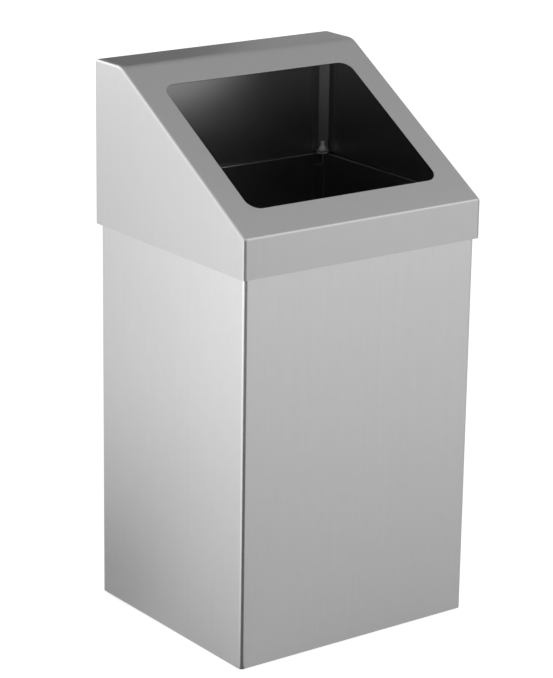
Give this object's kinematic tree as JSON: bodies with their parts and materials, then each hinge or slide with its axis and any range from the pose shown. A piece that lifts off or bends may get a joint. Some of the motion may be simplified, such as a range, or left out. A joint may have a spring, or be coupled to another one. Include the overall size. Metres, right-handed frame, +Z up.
{
  "type": "hooded waste receptacle",
  "caption": "Free-standing rectangular waste receptacle in folded stainless sheet, with a lift-off hood that has a sloping open window, and a lift-out liner with drop handles.",
  "frame": {"origin": "on the floor, in the middle of the body's footprint", "axes": "+Z up, +Y to the back, the sloping window faces -Y, +X to the right as seen from the front"},
  "size_m": [0.31, 0.277, 0.612],
  "materials": {
    "stainless": "satin brushed stainless sheet",
    "stainless_inner": "mill finish stainless sheet",
    "rivet_aluminium": "plain, slightly domed",
    "zinc_plate": "bright zinc plate",
    "liner_coat": "fine textured dark powder coat",
    "foot_rubber": "matt moulded rubber",
    "bumper_nylon": "moulded natural nylon"
  },
  "bodies": {
    "cabinet": {"body_shell": "stainless", "body_back_panel": "stainless", "back_panel_rivets": "rivet_aluminium", "base_pan": "stainless_inner", "foot_front_left": "foot_rubber", "foot_front_right": "foot_rubber", "foot_back_left": "foot_rubber", "foot_back_right": "foot_rubber", "foot_screws": "zinc_plate", "foot_washers": "zinc_plate", "foot_nuts": "zinc_plate"},
    "liner": {"liner_shell": "liner_coat", "liner_floor": "liner_coat", "left_handle_bracket": "zinc_plate", "right_handle_bracket": "zinc_plate", "handle_bracket_rivets": "rivet_aluminium"},
    "left_handle": {"left_handle": "zinc_plate"},
    "right_handle": {"right_handle": "zinc_plate"},
    "hood": {"hood_cover": "stainless", "hood_left_side": "stainless", "hood_right_side": "stainless", "left_corner_post": "stainless_inner", "right_corner_post": "stainless_inner", "left_bumper": "bumper_nylon", "right_bumper": "bumper_nylon"}
  },
  "joints": [
    {"name": "liner_lift", "type": "slide", "parent": "cabinet", "child": "liner", "axis": [0, 0, 1], "range_m": [0, 0.48]},
    {"name": "hood_lift", "type": "slide", "parent": "liner", "child": "hood", "axis": [0, 0, 1], "range_m": [0, 0.25]},
    {"name": "left_handle_swing", "type": "hinge", "parent": "liner", "child": "left_handle", "pos_m": [-0.1334, 0, 0.3844], "axis": [0, -1, 0], "range_deg": [-6, 189]},
    {"name": "right_handle_swing", "type": "hinge", "parent": "liner", "child": "right_handle", "pos_m": [0.1334, 0, 0.3844], "axis": [0, 1, 0], "range_deg": [-6, 189]}
  ]
}
